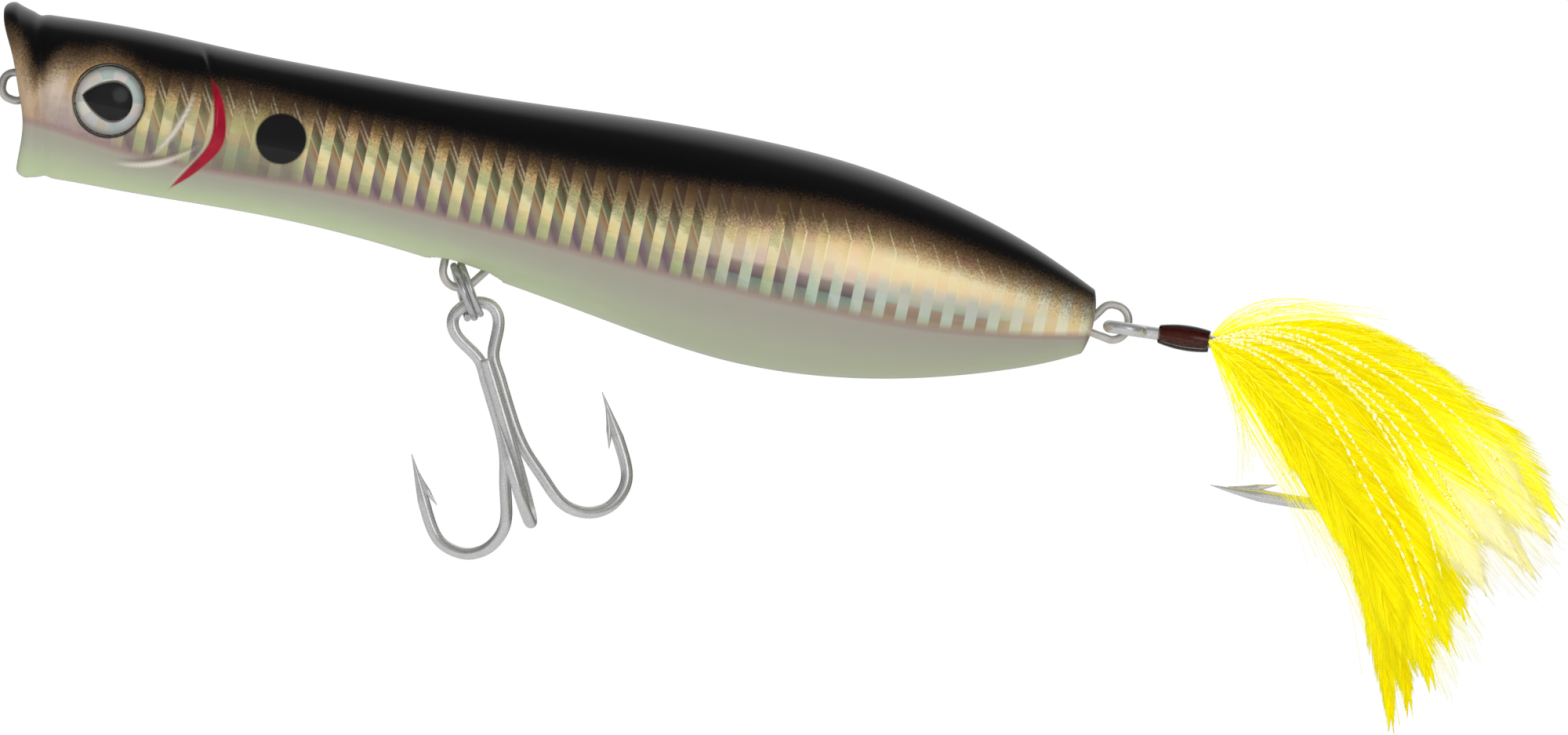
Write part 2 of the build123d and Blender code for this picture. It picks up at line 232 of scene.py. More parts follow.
# Where the black back fades out and where the film ends below, z against x.
back_of = curve_through([(-5, 9.6), (-2, 8.3), (1, 5.6), (3.2, 3.2), (4.8, 5.6), (8, 7.2), (13, 8.4),
                         (18, 7), (24, 6.4), (32, 7.2), (48, 6.4), (64, 6.4), (80, 6), (94, 6.4),
                         (108, 7.4), (122, 8.4), (136, 7.6), (148, 5.9), (158, 4.3), (166, 2.6)])
film_of = curve_through([(-5, -4.2), (8, -5), (20, -6.2), (36, -6), (48, -5.4), (64, -5.6), (80, -6.2),
                         (96, -6.9), (120, -7.3), (140, -6.9), (156, -4.9), (166, -2.8)])


def smooth(value, low, high):
    t = np.clip((value - low) / (high - low), 0, 1)
    return t * t * (3 - 2 * t)


def bezier(points, t):
    """Quadratic curve that passes through the middle point half way."""
    first, middle, last = (np.array(p, float) for p in points)
    control = 2 * middle - 0.5 * (first + last)
    t = np.asarray(t)[..., None]
    return (1 - t) ** 2 * first + 2 * t * (1 - t) * control + t ** 2 * last


def full_turn(count):
    return np.linspace(0, 2 * np.pi, count, endpoint=False)


def ridge(x, z, points, width, height):
    """A raised crescent that follows points and fades at both ends."""
    t = np.linspace(0, 1, 25)
    away = np.full(x.shape, 1e9)
    share = np.zeros(x.shape)
    for place, (px, pz) in zip(t, bezier(points, t)):
        gap = np.hypot(x - px, z - pz)
        nearer = gap < away
        away = np.where(nearer, gap, away)
        share = np.where(nearer, place, share)
    taper = np.sin(np.pi * np.clip(share, 0.02, 0.98)) ** 0.6
    return height * taper * np.exp(-(away / (width * (0.35 + 0.65 * taper))) ** 2)


RIDGES = ([(22.4, -6.0), (25.3, -1.3), (26.8, 4.4)], [(17.4, -8.2), (23.5, -6.9), (28.9, -3.2)])


def crease_of(z):
    return 4.2 - 0.235 * z


def relief(x, z):
    """Height of the moulded detail above the plain body, in millimetres."""
    ahead = crease_of(z) - x
    reach = np.maximum(crease_of(z) - rim_of(z), 1.0)
    lip = (0.9 + 0.7 * smooth(z, -4, 9)) * np.clip(ahead / reach, 0, 1.1) ** 1.5
    crease = -0.28 * np.exp(-(ahead / 0.8) ** 2)
    before = gill_of(z) - x
    span = smooth(z, -11.5, -8.5) * (1 - smooth(z, 9.5, 12.0))
    plate = 0.34 * np.exp(-np.maximum(before, 0) / 3.0) * smooth(before, -0.35, 0.2) * span
    hollow = -0.10 * np.exp(-((before + 0.55) / 0.55) ** 2) * span
    raised = sum(ridge(x, z, path, 0.5, 0.42) for path in RIDGES)
    furrow = -sum(ridge(x - 0.35, z - 0.6, path, 0.45, 0.2) for path in RIDGES)
    eye = np.hypot(x - EYE_X, z - EYE_Z)
    lid = 0.16 * np.exp(-((eye - EYE_R - 0.55) / 0.5) ** 2)
    return lip + crease + plate + hollow + raised + furrow + lid


def mesh_piece(name, points, faces, material):
    mesh = bpy.data.meshes.new(name)
    mesh.from_pydata([tuple(p) for p in points], [], [tuple(f) for f in faces])
    mesh.validate()
    mesh.update()
    mesh.shade_smooth()
    mesh.materials.append(material)
    piece = bpy.data.objects.new(name, mesh)
    scene.collection.objects.link(piece)
    return piece


def grid_faces(rows, columns):
    """Quads of a grid whose columns close on themselves."""
    index = np.arange(rows * columns).reshape(rows, columns)
    after = np.roll(index, -1, axis=1)
    quads = np.stack([index[:-1], after[:-1], after[1:], index[1:]], axis=-1)
    return quads.reshape(-1, 4).tolist()


ROUND = 240                    # points round the body
HEAD_ROWS, TRUNK_ROWS, TAIL_ROWS = 130, 190, 12
LIP_ROWS, CUP_ROWS = 16, 29
MOUTH_ROWS = 36                # last rows, painted as the inside of the mouth
HEAD_END = 36.0
LIP_ROUND = 1.7                # how far the lip's rounded front stands out


def body_surface():
    """Rows of points from the tail's middle over the flanks and the lip to the floor of the mouth."""
    angle = full_turn(ROUND)
    side, up = np.cos(angle), np.sin(angle)

    def ring(x):
        low, high = low_of(x), high_of(x)
        half = (high - low) / 2
        return half * WIDTH_RATIO * side, (low + high) / 2 + half * up

    rim = np.zeros(ROUND)
    for _ in range(12):
        rim = rim_of(ring(rim)[1])
    rows = []
    # Rounded tail.
    for share in np.linspace(0, 1, TAIL_ROWS, endpoint=False):
        turn = share * np.pi / 2
        size = 0.55 * np.sin(turn) + 0.45 * share if share else 0.0
        x = np.full(ROUND, TAIL_END + 0.35 - 0.9 * (1 - np.cos(turn)))
        y, z = ring(x)
        middle = (low_of(x) + high_of(x)) / 2
        rows.append(np.stack([x, y * size, middle + (z - middle) * size], axis=1))
    stretch = np.linspace(0, 1, TRUNK_ROWS, endpoint=False) ** 0.9
    xs = [np.full(ROUND, TAIL_END - 0.6 - (TAIL_END - 0.6 - HEAD_END) * s) for s in stretch]
    rim = rim + LIP_ROUND
    xs += [HEAD_END + (rim - HEAD_END) * s for s in np.linspace(0, 1, HEAD_ROWS)]
    for x in xs:
        y, z = ring(x)
        height = relief(x, z)
        out_y, out_z = side / WIDTH_RATIO, up
        length = np.hypot(out_y, out_z)
        y = y + height * out_y / length
        z = z + height * out_z / length
        rows.append(np.stack([x, y, z], axis=1))
    # Rounded lip, from the outer edge to the inner one.
    outer = rows[-1]
    inner = np.stack([rim + 0.1, CUP_HALF_Y * side, CUP_Z + CUP_HALF_Z * up], axis=1)
    for share in np.linspace(0, 1, LIP_ROWS + 1)[1:]:
        turn = np.pi * share
        place = (outer + inner) / 2 + (outer - inner) / 2 * np.cos(turn)
        place[:, 0] -= LIP_ROUND * np.sin(turn)
        rows.append(place)
    for share in np.linspace(0, 1, CUP_ROWS + 1)[1:]:
        turn = share * np.pi / 2
        size = max(np.cos(turn), 0.0) ** 0.6
        x = rim + 0.1 + (CUP_FLOOR - rim - 0.1) * np.sin(turn)
        rows.append(np.stack([x, size * CUP_HALF_Y * side, CUP_Z + size * CUP_HALF_Z * up], axis=1))
    return np.array(rows)


def sink_sockets(rows):
    """Presses the two eye sockets into the flanks, with round walls."""
    x, y, z = rows[..., 0], rows[..., 1], rows[..., 2]
    edge = EYE_R + 0.12
    gap = np.hypot(x - EYE_X, z - EYE_Z)
    near = (gap < edge + 0.35) & (np.abs(y) > 5)
    onto = near & (np.abs(gap - edge) < 0.24)
    scale = np.where(onto, edge / np.maximum(gap, 1e-6), 1.0)
    x = np.where(onto, EYE_X + (x - EYE_X) * scale, x)
    z = np.where(onto, EYE_Z + (z - EYE_Z) * scale, z)
    inside = near & (gap < edge - 0.24)
    y = np.where(inside, np.sign(y) * (SOCKET_Y - 0.35), y)
    return np.stack([x, y, z], axis=-1)


def cut_slot(rows):
    """Presses the hanger's slot into the belly."""
    x, y, z = rows[..., 0], rows[..., 1], rows[..., 2]
    half_length, half_width, middle = 5.5, 3.5, 72.1
    along = np.maximum(np.abs(x - middle) - (half_length - half_width), 0)
    gap = np.hypot(along, y)
    deep = (1 - smooth(gap, half_width - 0.5, half_width + 0.45)) * (z < -5)
    return np.stack([x, y, z + deep * (-10.6 - z)], axis=-1)


def add_field(mesh, name, values):
    mesh.attributes.new(name, "FLOAT", "POINT").data.foreach_set("value", values.astype(np.float32).ravel())


# ---- paint ----
BAR_PITCH = 3.45
BAR_START = 47.0
FIRST_BAR = 60                 # number of the bar that starts there
SPOT_X, SPOT_Z, SPOT_R = 41.0, 0.6, 3.85


def paint_material():
    g = Paint("painted_body", Coat_Weight=0.55, Coat_Roughness=0.06, Coat_IOR=1.5, Specular_IOR_Level=0.1)
    spot = g.place()
    x, y, z = g.xyz(spot)
    back, film, height, belly, lip, gill = map(g.field, ("back", "film", "height", "belly", "lip", "gill"))
    grain = g.noise(spot, 9, 3, 0.7)
    speck = g.noise(spot, 3.2, 4, 0.75)
    cloud = g.noise(spot, 0.35, 3, 0.55)

    # Bars across the film, one every pitch.
    count = (x - BAR_START) * (1 / BAR_PITCH) + FIRST_BAR
    cell = g.math("FLOOR", count)
    share = count - cell
    lot = g.chance(g.vector(cell, 3, 0))
    bar = g.step(share, 0, 0.03) * g.step(share, 0.53, 0.50)
    level = height + (share - 0.75) * 0.42 + (cloud - 0.5) * 0.10
    streak = g.noise(g.vector(x * 0.5, 0, z * 1.4), 1, 4, 0.65)
    bar_level = height + (share - 0.25) * 0.16 + (streak - 0.5) * 0.20
    bright_bar = g.ramp(bar_level, (0, 0xACA884), (0.1, 0xBEBE8E), (0.2, 0xCECC96), (0.31, 0xFCE6A6),
                        (0.42, 0xFFF4BC), (0.5, 0xC4C292), (0.6, 0xD8CE96), (0.72, 0xF8D092),
                        (0.84, 0xBC985A), (1, 0x785C3A))
    dark_gap = g.ramp(level, (0, 0x9C8A82), (0.1, 0x7A666E), (0.2, 0x887274), (0.26, 0x968E76),
                      (0.34, 0xA09478), (0.4, 0xA8865C), (0.45, 0x8C6A48), (0.49, 0x808066),
                      (0.57, 0x706E50), (0.63, 0x60583C), (0.68, 0x8A7256), (0.8, 0x806854),
                      (0.9, 0x685042), (1, 0x543E34))
    # The pale and tail ramps carry a cream band across the middle heights: a painted highlight, the
    # champagne shine along the rear flank, over the foil's own pale pink, lilac and teal.
    pale_bar = g.ramp(bar_level, (0, 0xAAB296), (0.12, 0xC4D4C4), (0.24, 0xCED8C6), (0.36, 0xF6EACE),
                      (0.48, 0xFCE2AE), (0.62, 0xEECC94), (0.8, 0xA68662), (1, 0x68523E))
    pale_gap = g.ramp(height, (0, 0xAA9E84), (0.09, 0x8E9E88), (0.14, 0x809484), (0.16, 0x706064),
                      (0.25, 0xA4908A), (0.3, 0xEED6C4), (0.46, 0xFFE6C0), (0.6, 0xFCD8A4),
                      (0.78, 0xBA9672), (1, 0x68523E))
    tail_gap = g.ramp(height, (0, 0xBAAC8E), (0.08, 0xA88E7A), (0.17, 0xB09682), (0.2, 0xB2C0AC),
                      (0.33, 0xE4D8C0), (0.42, 0xFFE2B2), (0.56, 0xFFEAB6), (0.74, 0xD6B082), (1, 0x6E563E))
    tail_bar = g.ramp(height, (0, 0xBEB89C), (0.12, 0xCAD4C4), (0.34, 0xD6D4C2), (0.44, 0xFFE8B8),
                      (0.58, 0xFFECBA), (0.74, 0xD6B082), (1, 0x6E563E))
    front = g.mix(bar, dark_gap, bright_bar)
    plain = g.ramp(height + (speck - 0.5) * 0.30, (0, 0x8C8274), (0.25, 0x98967A), (0.45, 0xC4B488),
                   (0.62, 0xA89668), (0.8, 0x826A4C), (1, 0x5C4634))
    unruled = g.step(x, 27.5, 31.5) * g.step(x, 46.5, 43.5)
    front = g.mix(unruled * 0.82, front, plain)
    front = g.mix(g.step(x, 30.5, 28) * 0.30, front, plain)
    rear = g.mix(bar, pale_gap, pale_bar)
    end = g.mix(bar, tail_gap, tail_bar)
    rear = g.mix(g.step(x, 129, 136), rear, end)
    # Near the tail's tip the colour turns almost white: a painted highlight.
    tip_highlight = g.step(x, 148, 163) * g.step(height, 1, 0.6)
    rear = g.mix(tip_highlight, rear, g.mix(bar, 0xFFE4AE, 0xFFF8D6))
    # Toward the tail the foil turns to the pale rear pattern, with its painted highlight band.
    rear_pattern_and_sheen = g.step(x + (lot - 0.5) * 14, 100, 128)
    foil = g.mix(rear_pattern_and_sheen, front, rear)

    # Fine scale lines: upright with a slanted top towards the tail, slanted pairs between the bars ahead.
    bend = g.math("MAXIMUM", height - 0.66, 0)
    nearness = g.math("ABSOLUTE", share - (0.50 - bend * 2.6))
    span = g.step(height, 0.28, 0.40) * g.step(height, 0.92, 0.84)
    line = g.step(nearness, 0.05, 0.02) * span * g.step(x, 104, 118) * g.step(x, 160, 150)
    in_gap = (1.0 - bar) * (1.0 - rear_pattern_and_sheen)
    for crossing, weight in ((2.12, 0.8), (1.96, 0.45), (1.50, 0.35)):
        slant = g.math("ABSOLUTE", share * 0.82 + height * 1.9 - crossing)
        slant_line = g.step(slant, 0.055, 0.02) * (in_gap * weight)
        line = g.math("MAXIMUM", line, slant_line)
    foil = g.mix(line * 0.85, foil, 0xFFF0C0)

    # Holographic tints that change from patch to patch.
    tint = g.chance(g.vector(cell, g.math("FLOOR", height * 7), 1), "Color")
    tint = g.value("HueSaturation", 0.5, 0.55, 1, 1, tint)
    foil = g.mix(0.12, foil, tint, blend_type="OVERLAY")

    # Silvery cheek ahead of the eye, painted shade in the crease behind the lip, and a gold halo round the
    # eye.
    cheek = g.ramp(height + (g.noise(spot, 1.1, 4) - 0.5) * 0.35, (0, 0xB69C9C), (0.25, 0xCEBCB2),
                   (0.45, 0xE6D2C0), (0.7, 0xCEB08E), (1, 0x786048))
    cheek = g.mix(g.step(lip, -1.5, 1) * 0.7, cheek, g.mix(speck, 0xAC8256, 0xF8D6AC))
    # Dark brown along the crease behind the lip: painted shade.
    crease_shade = g.step(g.math("ABSOLUTE", lip + 0.2), 1, 0.1) * g.step(z, -1, 7)
    cheek = g.mix(crease_shade * 0.75, cheek, 0x402E20)
    at_cheek = g.step(x + (cloud - 0.5) * 6, 19, 14)
    foil = g.mix(at_cheek * 0.85, foil, cheek)
    halo = g.step(g.field("eye"), 7.4, 5.9) * g.step(z, -2, 3)
    foil = g.mix(halo * 0.75, foil, 0xD6AC70)

    # Pearl belly, greener underneath.
    pearl = g.ramp(belly + (cloud - 0.5) * 0.10, (0, 0xE0F0BE), (0.25, 0xCEDAB2), (0.55, 0xBCBFA9),
                   (0.75, 0xB4B2A1), (0.88, 0xB4AE9E), (1, 0xB2A098))
    pearl = g.mix(g.step(x, 62, 118) * 0.5, pearl, 0xAEAA9E)
    over_film = g.step(film + (speck - 0.5) * 0.5, -0.35, 0.30)
    body = g.mix(over_film, pearl, foil)
    border = g.step(film, -0.9, -0.2) * g.step(film, 0.9, 0.1)
    body = g.mix(border * 0.5, body, 0xA88C86)

    # Black back, sprayed on in fine specks.
    spray = back + ((grain - 0.5) * 4.6 + (speck - 0.5) * 5.0)
    # Over the body's widest part the brown spray reaches further down: the extra reach is painted shade
    # above the flank's shine.
    shoulder_shade = g.step(x, 76, 96) * g.step(x, 134, 112) * 2.2
    brown = g.step(back + shoulder_shade + (speck - 0.5) * 8, -5.2, -0.6)
    body = g.mix(brown * 0.82, body, 0x463222)
    black = g.step(spray, -1.4, 1.2)
    body = g.mix(black, body, 0x09090A)

    # Bare silver with a painted highlight on the raised lines, painted shadow in the furrow below them, and
    # a painted highlight on the edge of the gill plate.
    flank = g.step(back, 0.5, -2.5) * g.step(z, -10.5, -8.5)
    # Dark line in the furrow below the raised lines: painted shadow.
    body = g.mix(g.field("furrow") * (flank * 0.8), body, 0x605442)
    # The raised lines turn near white: rubbed silver with a painted highlight.
    worn_and_highlight = g.math("MINIMUM", g.field("ridge") * 1.3, 1)
    body = g.mix(worn_and_highlight * (flank * 0.95), body, 0xF0E6D8)
    # A light line along the gill plate's edge: painted highlight.
    plate_edge_highlight = g.step(gill, -0.2, 0.05) * g.step(gill, 0.6, 0.25) * g.step(z, 5, 1)
    body = g.mix(plate_edge_highlight * (flank * 0.5), body, 0xDED2B8)

    # Round black spot and the red gill mark.
    dot = g.step(g.field("dot") + (speck - 0.5) * 0.2, 0.22, -0.22)
    body = g.mix(dot, body, 0x070708)
    red = g.step(g.field("red") + (speck - 0.5) * 0.25, -0.12, 0.32)
    red_body = g.mix(g.noise(spot, 0.6, 2), 0x8A001E, 0xCC0A38)
    body = g.mix(red * g.step(back, 1, -1.5), body, red_body)
    g.shade(Base_Color=body)

    foil_only = over_film * (1.0 - black) * (1.0 - dot)
    g.shade(Metallic=foil_only * 0.30, Roughness=0.34 + g.noise(spot, 3, 3) * 0.14)
    g.bump(bar * (foil_only * 0.6) + grain * 0.10, 0.25, 0.00006)
    return g.material


def weld_poles(piece):
    """Joins the points that meet at a pole, so that the skin is one closed surface."""
    work = bmesh.new()
    work.from_mesh(piece.data)
    bmesh.ops.remove_doubles(work, verts=work.verts, dist=0.000002)
    bmesh.ops.dissolve_degenerate(work, edges=work.edges, dist=0.000001)
    bmesh.ops.recalc_face_normals(work, faces=work.faces)
    work.to_mesh(piece.data)
    work.free()
    piece.data.shade_smooth()
    return piece


def painted_body():
    rows = cut_slot(sink_sockets(body_surface()))
    count, columns = rows.shape[:2]
    points = rows.reshape(-1, 3)
    piece = mesh_piece("painted_body", points * MM, grid_faces(count, columns), paint_material())
    x, z = points[:, 0], points[:, 2]
    in_mouth = np.zeros((count, columns), bool)
    in_mouth[-MOUTH_ROWS:] = True
    in_mouth = in_mouth.ravel()
    top, film, low = back_of(x), film_of(x), low_of(x)
    behind = x - gill_of(z)
    fields = {
        "back": np.where(in_mouth, z - 9.0, z - top),
        "film": np.where(in_mouth, -5.0, z - film),
        "height": np.clip((z - film) / (top + 0.8 - film), -0.2, 1.3),
        "belly": np.where(in_mouth, 0.6, np.clip((z - low) / (film - low), 0, 1)),
        "eye": np.hypot(x - EYE_X, z - EYE_Z),
        "dot": np.hypot(x - SPOT_X, z - SPOT_Z) - SPOT_R,
        "ridge": sum(ridge(x, z, path, 0.42, 1.0) for path in RIDGES),
        # furrow: where the painted shadow below the raised lines lies.
        "furrow": sum(ridge(x - 0.4, z - 0.75, path, 0.42, 1.0) for path in RIDGES),
        "gill": -behind,
        "lip": np.where(in_mouth, 5.0, crease_of(z) - x),
        "red": np.minimum(behind + 0.05, red_of(z) - behind),
    }
    for name, values in fields.items():
        add_field(piece.data, name, values)
    return weld_poles(piece)


body = painted_body()
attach(body, "lure_body")
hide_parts("shell_left", "shell_right", "flank_film_left", "flank_film_right")


# ---- eyes ----
def iris_material():
    g = Paint("eye_print", Specular_IOR_Level=0.1, Metallic=0.1, Roughness=0.35)
    spot = g.place()
    x, y, z = g.xyz(spot)
    dx = x - EYE_X
    dz = z - EYE_Z
    away = g.math("SQRT", dx * dx + dz * dz)
    turn = g.math("ARCTAN2", dz, dx)
    facet = g.chance(g.vector(g.math("FLOOR", (turn + 0.4) * 2), g.math("FLOOR", away * 0.62), 4))
    tint = g.ramp(facet, (0, 0xBACECC), (0.2, 0xE2E2E8), (0.4, 0xFAE2D6), (0.6, 0xA0C8C4), (0.8, 0xFFFCF0),
                  (1, 0xD6CCDE))
    wash = g.ramp(g.noise(spot, 0.42, 2), (0.32, 0xB0D0CE), (0.5, 0xF0EEEA), (0.66, 0xFADCCC))
    iris = g.mix(0.3, tint, wash)
    # Fine ruled lines of the print.
    ruled = g.math("FRACT", (dx + dz * 0.35) * 2.6)
    iris = g.mix(g.step(ruled, 0.8, 1) * 0.15, iris, 0xAAB2B0)
    # Pupil: a drop with its point towards the nose.
    far = g.math("MAXIMUM", (dx - 0.6) * (1 / 2.9), 0)
    near = g.math("MAXIMUM", (0.6 - dx) * (1 / 4.7), 0)
    blunt = g.math("SQRT", g.math("MAXIMUM", 1 - far * far, 0))
    point = g.math("POWER", g.math("MAXIMUM", 1 - g.math("POWER", near, 1.6), 0), 0.8)
    pupil_gap = point * blunt * 3.02 - g.math("ABSOLUTE", dz)
    beyond = g.math("MAXIMUM", far - 1, 0) + g.math("MAXIMUM", near - 1, 0)
    pupil_gap = pupil_gap - beyond * 9.0
    pupil = g.step(pupil_gap, 0, 0.12)
    outline = g.step(pupil_gap, -0.30, -0.10) * (1 - pupil)
    face = g.mix(outline * 0.9, iris, 0x5C4226)
    face = g.mix(pupil, face, 0x060607)
    # Dark ring at the disc's edge: painted shade, the socket seen through the rim of the lens.
    face = g.mix(g.step(away, 5, 5.3), face, 0x2C2A28)
    g.shade(Base_Color=face)
    return g.material


def clear_film(name, first, second, gloss):
    """A clear coat over what lies under it: it tints and shines."""
    g = Paint(name)
    tint = g.mix(g.noise(g.place(), 1.2, 3), first, second)
    through = g.value("BsdfTransparent", tint)
    shine = g.value("BsdfAnisotropic", (1, 1, 1, 1), gloss)
    g.put(g.surface, g.value("MixShader", g.value("Fresnel", 1.34), through, shine))
    return g.material


def turned(name, profile, material, origin, axis, first, second, segments=96, ripple=None):
    """A piece turned about an axis. profile holds (distance along the axis, radius)."""
    angle = full_turn(segments)
    rows = []
    for along, radius in profile:
        reach = radius if ripple is None else radius + ripple(along, angle)
        rows.append(origin + axis * along + np.outer(reach * np.cos(angle), first)
                    + np.outer(reach * np.sin(angle), second))
    return mesh_piece(name, np.concatenate(rows) * MM, grid_faces(len(profile), segments), material)


AHEAD, SIDE, UP = np.eye(3)
EYE_CENTRE = np.array([EYE_X, 0.0, EYE_Z])
LENS_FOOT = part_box("eye_lens_right")[0].y / MM
LENS_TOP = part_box("eye_lens_right")[1].y / MM
LENS_DOME = 1.9
DOME_R = (EYE_R ** 2 + LENS_DOME ** 2) / (2 * LENS_DOME)

iris = iris_material()
resin = clear_film("clear_resin", 0xFFFFFF, 0xFAFCFB, 0.03)
rim = mottled("eye_rim", 3.0, 0x100F0E, 0x26221E, Roughness=0.35, Coat_Weight=0.5)
disc_profile = [(SOCKET_Y, 0.0), (SOCKET_Y, 2.5), (SOCKET_Y, 5.2), (SOCKET_Y + 0.05, EYE_R - 0.02),
                (SOCKET_Y + 0.4, EYE_R - 0.02), (LENS_FOOT - 0.02, 5.25), (LENS_FOOT - 0.02, 3.0),
                (LENS_FOOT - 0.02, 0.0)]
lens_profile = [(LENS_FOOT, 0.0), (LENS_FOOT, 3.0), (LENS_FOOT, EYE_R - 0.15),
                (LENS_FOOT + 0.12, EYE_R - 0.02), (LENS_TOP - LENS_DOME - 0.15, EYE_R)]
for radius in (EYE_R * math.sin(share * math.pi / 2) for share in np.linspace(1, 0, 28)):
    lens_profile.append((LENS_TOP - DOME_R + math.sqrt(DOME_R ** 2 - radius ** 2), radius))
seat_profile = [(LENS_TOP - LENS_DOME + 0.05 + 0.30 * math.sin(t), EYE_R + 0.13 + 0.13 * math.cos(t))
                for t in np.linspace(0, 2 * math.pi, 17)]
for side, label in ((-1, "left"), (1, "right")):
    about_eye = (EYE_CENTRE, SIDE * side, AHEAD, UP)
    disc = weld_poles(turned(f"eye_print_{label}", disc_profile, iris, *about_eye))
    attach(disc, "lure_body")
    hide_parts(f"eye_disc_{label}")
    lens = weld_poles(turned(f"eye_lens_dome_{label}", lens_profile, resin, *about_eye))
    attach(lens, "lure_body")
    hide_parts(f"eye_lens_{label}")
    bezel = weld_poles(turned(f"eye_seat_{label}", seat_profile, rim, *about_eye))
    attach(bezel, "lure_body")


# ---- metal ----
def steel(name, light, dark, metallic, roughness, grain, bump):
    g = Paint(name, Metallic=metallic)
    spot = g.place()
    cloud = g.noise(spot, 0.9, 4, 0.6)
    fine = g.noise(spot, grain, 3, 0.6)
    g.shade(Base_Color=g.mix(cloud * 0.6 + fine * 0.4, dark, light))
    g.shade(Roughness=roughness + fine * 0.16)
    g.bump(fine + g.noise(spot, grain * 3, 2) * 0.5, bump, 0.00004)
    return g.material


def dress(node, material):
    """Gives a CAD node's surface its finish."""
    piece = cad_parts[node]
    piece.data.materials.clear()
    piece.data.materials.append(material)


hook_steel = steel("hook_steel", 0xF8F8F9, 0xC8C8CA, 0.7, 0.20, 5.0, 0.08)
wire_steel = steel("stainless_wire", 0xF0EDE8, 0xBEBAB4, 0.6, 0.22, 7.0, 0.12)
ring_steel = steel("ring_steel", 0xF4F4F6, 0xA0A0A3, 0.8, 0.12, 4.0, 0.08)
slug_steel = steel("ballast_steel", 0x78787A, 0x4A4A4C, 1.0, 0.35, 4.0, 0.3)
ball_steel = steel("ball_steel", 0xD6D6D6, 0xAAAAAA, 1.0, 0.05, 3.0, 0.02)
race_plastic = mottled("race_plastic", 1.4, 0xCECECC, 0xE2E2E0, Roughness=0.35)

dress("through_wire", wire_steel)
dress("belly_split_ring", ring_steel)
dress("ballast_slug", slug_steel)
dress("casting_ball", ball_steel)
dress("ball_race_tube", race_plastic)


# ---- hooks ----
def run_of(path, power=1.0):
    """Distance run along a line of points, each step of it raised to a power."""
    return np.concatenate([[0], np.cumsum(np.linalg.norm(np.diff(path, axis=0), axis=1) ** power)])


def spline(points, spacing):
    """Points of a smooth line through the given ones, about spacing apart."""
    points = np.array(points, float)
    reach = run_of(points, 0.5)
    curves = [curve_through(list(zip(reach, points[:, axis]))) for axis in range(3)]
    fine = np.linspace(0, reach[-1], 1500)
    dense = np.stack([curve(fine) for curve in curves], axis=1)
    length = run_of(dense)
    at = np.linspace(0, length[-1], max(int(length[-1] / spacing), 8))
    return np.stack([np.interp(at, length, dense[:, axis]) for axis in range(3)], axis=1)


def rod(path, half_a, half_b, first_normal, around=24):
    """Points and faces of a closed rod. Its half widths lie along and across first_normal."""
    path = np.asarray(path)
    along = np.gradient(path, axis=0)
    along /= np.linalg.norm(along, axis=1)[:, None]
    normal = np.asarray(first_normal, float)
    angle = full_turn(around)
    rows = []
    for place, heading, a, b in zip(path, along, half_a, half_b):
        normal = normal - heading * (normal @ heading)
        normal /= np.linalg.norm(normal)
        rows.append(place + np.outer(a * np.cos(angle), normal)
                    + np.outer(b * np.sin(angle), np.cross(heading, normal)))
    faces = grid_faces(len(rows), around)
    last = (len(rows) - 1) * around
    faces += [list(range(around))[::-1], list(range(last, last + around))]
    return np.concatenate(rows), faces


def joined(name, parts, material):
    """One piece of several closed forms."""
    points, faces, count = [], [], 0
    for some_points, some_faces in parts:
        points.append(some_points)
        faces += [[index + count for index in face] for face in some_faces]
        count += len(some_points)
    return mesh_piece(name, np.concatenate(points) * MM, faces, material)


def needle_radius(path, radius, reach, ends):
    """The wire's radius along path, drawn to a point over reach at the given ends."""
    length = run_of(path)
    size = np.full(len(path), radius)
    for end in ends:
        gap = length if end == "first" else length[-1] - length
        size = np.minimum(size, radius * (0.04 + 0.96 * np.minimum(gap / reach, 1)))
    return size


def barb(tip, heading, inward, radius, reach):
    """The barb cut below a point. heading runs up to the tip; the barb ends reach below it."""
    line = [tip - heading * 0.27 * reach + inward * 0.05, tip - heading * 0.68 * reach + inward * 0.66,
            tip - heading * reach + inward * 1.6]
    path = spline(line, 0.25)
    u = np.linspace(0, 1, len(path))
    size = radius * np.interp(u, (0, 0.6, 1), (0.16, 0.52, 0.05))
    return rod(path, size, size * 0.8, inward, 16)


TREBLE_TILT = math.radians(28.8)
TREBLE_R = 0.9
DOWN = np.array([math.sin(TREBLE_TILT), 0, -math.cos(TREBLE_TILT)])
ACROSS = np.array([math.cos(TREBLE_TILT), 0, math.sin(TREBLE_TILT)])
RING_LOW = np.array([74.85, 0.0, -19.55])
EYE_TOP = RING_LOW - DOWN * (2.2 + TREBLE_R)
BUNDLE_R, THIRD_TOP = 1.13, 9.6
BEND_OUT, BEND_R, SPEAR_RISE, POINT_RISE = 10.5, 6.3, 2.2, 10.8
NEEDLE, EYE_Y = 7.2, 0.45
# Each hook's direction round the shank in degrees, and how far down its bend lies.
LEFT_HOOK, THIRD_HOOK, RIGHT_HOOK = (-114.0, 30.9), (-3.0, 28.8), (113.0, 30.2)


def treble_point(r, w, turn):
    """r out from the shank's axis, w down from the top of the eye; a turn of 0 faces -Y."""
    turn = math.radians(turn)
    return EYE_TOP + DOWN * w + (ACROSS * math.sin(turn) - SIDE * math.cos(turn)) * r


